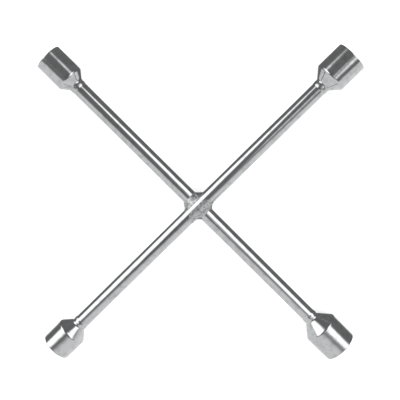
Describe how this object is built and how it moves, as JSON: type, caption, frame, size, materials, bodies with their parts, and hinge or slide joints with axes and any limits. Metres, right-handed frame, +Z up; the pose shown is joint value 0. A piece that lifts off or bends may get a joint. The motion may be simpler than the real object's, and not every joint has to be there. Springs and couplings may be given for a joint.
{
  "type": "lug wrench",
  "caption": "Four-way cross lug wrench: two crossed round bars welded at the middle, with a different hex socket on the end of each arm.",
  "frame": {"origin": "straight below the crossing of the two bars, at the height of the lowest point of the largest socket", "axes": "+Z up, square to both bars as the wrench lies flat; +X along the upper bar towards the 13/16 inch socket; +Y along the lower bar towards the 11/16 inch socket"},
  "size_m": [0.3556, 0.3556, 0.036],
  "materials": {
    "bar_chrome": "chrome-plated drawn steel bar, bright with fine handling scratches",
    "socket_chrome": "chrome-plated forged steel, bright outside, dull inside the hex",
    "weld_chrome": "chrome plate over rippled weld metal, slightly satin"
  },
  "bodies": {
    "root": {"upper_bar": "bar_chrome", "lower_bar": "bar_chrome", "socket_13_16": "socket_chrome", "socket_3_4": "socket_chrome", "socket_11_16": "socket_chrome", "socket_7_8": "socket_chrome", "neck_weld_13_16": "weld_chrome", "neck_weld_3_4": "weld_chrome", "neck_weld_11_16": "weld_chrome", "neck_weld_7_8": "weld_chrome", "front_weld_wide": "weld_chrome", "front_weld_narrow": "weld_chrome", "back_weld_wide": "weld_chrome", "back_weld_narrow": "weld_chrome"}
  },
  "joints": []
}
